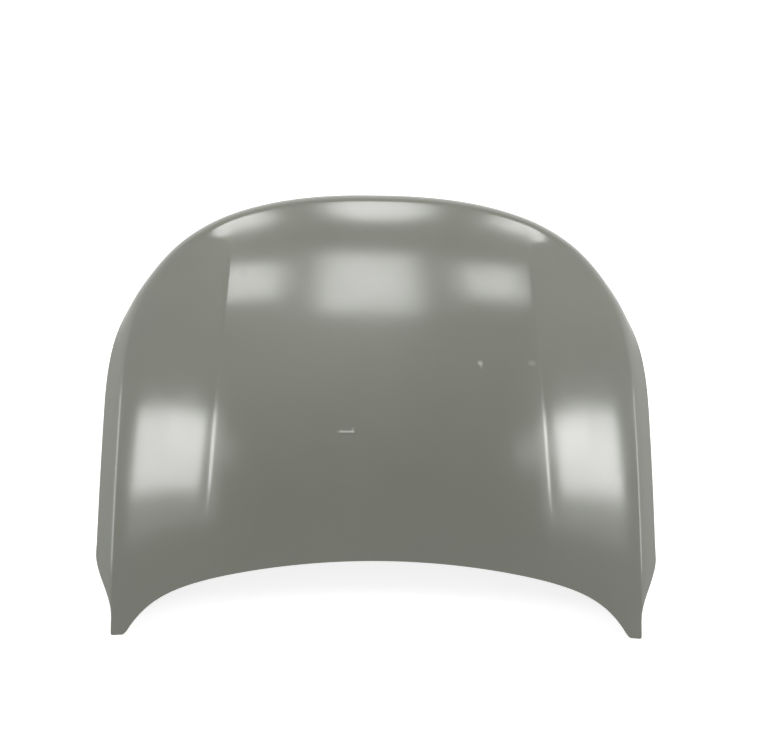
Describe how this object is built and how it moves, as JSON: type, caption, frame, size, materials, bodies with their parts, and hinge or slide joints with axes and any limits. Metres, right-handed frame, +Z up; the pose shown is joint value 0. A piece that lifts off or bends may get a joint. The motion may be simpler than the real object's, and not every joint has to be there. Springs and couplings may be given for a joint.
{
  "type": "car bonnet",
  "caption": "Bare primed car bonnet: pressed steel skin hemmed over a ribbed inner frame, with hinge pads and a latch striker, lying outer side up.",
  "frame": {"origin": "centre of the bonnet's bounding box in plan, at the height of the floor it lies on", "axes": "+X to the car's right, across the bonnet; +Y towards the nose; +Z up, away from the outer side's floor, as it lies outer side up"},
  "size_m": [1.533, 1.275, 0.1907],
  "materials": {
    "skin_primer": "semi-gloss grey-green dip primer on the outer skin",
    "frame_primer": "satin grey-green dip primer on the inner pressings",
    "zinc_steel": "zinc plated steel of the striker, nuts and bolts",
    "mastic": "matt dark anti-flutter mastic"
  },
  "bodies": {
    "root": {"outer_skin": "skin_primer", "inner_frame": "frame_primer", "palm_stiffener": "frame_primer", "latch_plate": "frame_primer", "hinge_plate_left": "frame_primer", "hinge_plate_right": "frame_primer", "hinge_nut_left_front": "zinc_steel", "hinge_nut_left_rear": "zinc_steel", "hinge_nut_right_front": "zinc_steel", "hinge_nut_right_rear": "zinc_steel", "striker_plate": "zinc_steel", "striker_loop": "zinc_steel", "striker_bolt_left": "zinc_steel", "striker_bolt_right": "zinc_steel", "striker_nut_left": "zinc_steel", "striker_nut_right": "zinc_steel", "mastic_01": "mastic", "mastic_02": "mastic", "mastic_03": "mastic", "mastic_04": "mastic", "mastic_05": "mastic", "mastic_06": "mastic", "mastic_07": "mastic", "mastic_08": "mastic", "mastic_09": "mastic", "mastic_10": "mastic", "mastic_11": "mastic", "mastic_12": "mastic", "mastic_13": "mastic", "mastic_14": "mastic", "mastic_15": "mastic", "mastic_16": "mastic"}
  },
  "joints": []
}
